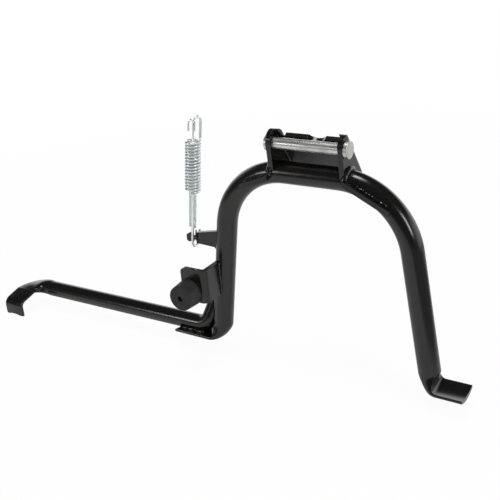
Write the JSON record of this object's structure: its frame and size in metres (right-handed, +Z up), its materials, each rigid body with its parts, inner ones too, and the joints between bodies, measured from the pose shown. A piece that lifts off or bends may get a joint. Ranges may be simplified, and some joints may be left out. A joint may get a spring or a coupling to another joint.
{
  "type": "motorcycle centre stand",
  "caption": "Black tubular scooter centre stand with pressed feet, a folded pivot bracket and pin, a side tread arm, a rubber buffer and nested return springs.",
  "frame": {"origin": "middle of the pivot pin, halfway between the two ears", "axes": "+X along the pivot pin towards the side without the tread arm, +Y towards the web of the pivot bracket, +Z up along the plane of the legs"},
  "size_m": [0.5615, 0.0883, 0.2687],
  "materials": {
    "black_paint": "gloss black enamel",
    "painted_weld": "gloss black enamel over weld bead",
    "zinc_pin": "bright zinc plate",
    "zinc_wire": "bright zinc plate",
    "spring_steel": "dark spring steel",
    "black_rubber": "matte moulded rubber"
  },
  "bodies": {
    "pivot": {"pivot_pin": "zinc_pin", "pin_washer": "zinc_pin", "pin_clip": "spring_steel"},
    "stand": {"arch_tube": "black_paint", "pivot_bracket": "black_paint", "strap_right": "black_paint", "strap_left": "black_paint", "spring_anchor": "black_paint", "buffer_bracket": "black_paint", "rubber_buffer": "black_rubber", "buffer_stud": "zinc_pin", "buffer_washer": "zinc_pin", "buffer_nut": "zinc_pin", "tread_arm": "black_paint", "bracket_welds": "painted_weld", "strap_welds": "painted_weld", "anchor_welds": "painted_weld", "buffer_bracket_welds": "painted_weld", "arm_welds": "painted_weld"},
    "return_springs": {"outer_spring": "zinc_wire", "inner_spring": "zinc_wire"}
  },
  "joints": [
    {"name": "stand_pivot", "type": "hinge", "parent": "pivot", "child": "stand", "pos_m": [0, 0, 0], "axis": [-1, 0, 0], "range_deg": [0, 95]},
    {"name": "spring_swing", "type": "hinge", "parent": "stand", "child": "return_springs", "pos_m": [-0.1457, 0.005, -0.117], "axis": [1, 0, 0], "range_deg": [-95, 95]}
  ]
}
